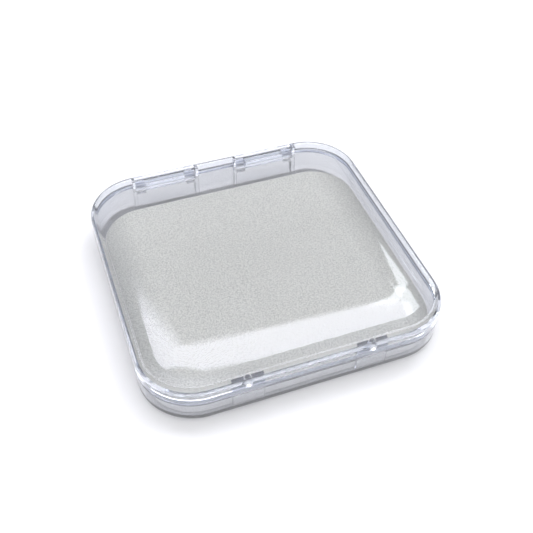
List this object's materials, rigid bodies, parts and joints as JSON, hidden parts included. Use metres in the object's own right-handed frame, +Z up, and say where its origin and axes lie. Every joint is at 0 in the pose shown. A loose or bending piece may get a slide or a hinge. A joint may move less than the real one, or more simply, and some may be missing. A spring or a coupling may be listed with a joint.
{
  "type": "wet palette",
  "caption": "Clear rounded-square hinged box with a domed lid, a wet sponge and palette paper inside, for keeping paint moist.",
  "frame": {"origin": "middle of the tray's underside, on the surface that the box rests on", "axes": "+Z up, +Y from the front catches to the hinges, +X along the hinge axis to the right"},
  "size_m": [0.1, 0.1022, 0.016],
  "materials": {
    "clear_plastic": "clear polished polystyrene",
    "clear_lid": "clear polished polystyrene",
    "clear_pin": "clear polished polystyrene",
    "sponge": "fine damp foam",
    "paper": "thin damp palette paper with a fine grain"
  },
  "bodies": {
    "tray": {"base_tray": "clear_plastic", "sponge": "sponge", "palette_paper": "paper"},
    "cover": {"lid": "clear_lid", "hinge_pin_left": "clear_pin", "hinge_pin_right": "clear_pin"}
  },
  "joints": [
    {"name": "lid_hinge", "type": "hinge", "parent": "tray", "child": "cover", "pos_m": [0, 0.0503, 0.00845], "axis": [-1, 0, 0], "range_deg": [0, 180]}
  ]
}
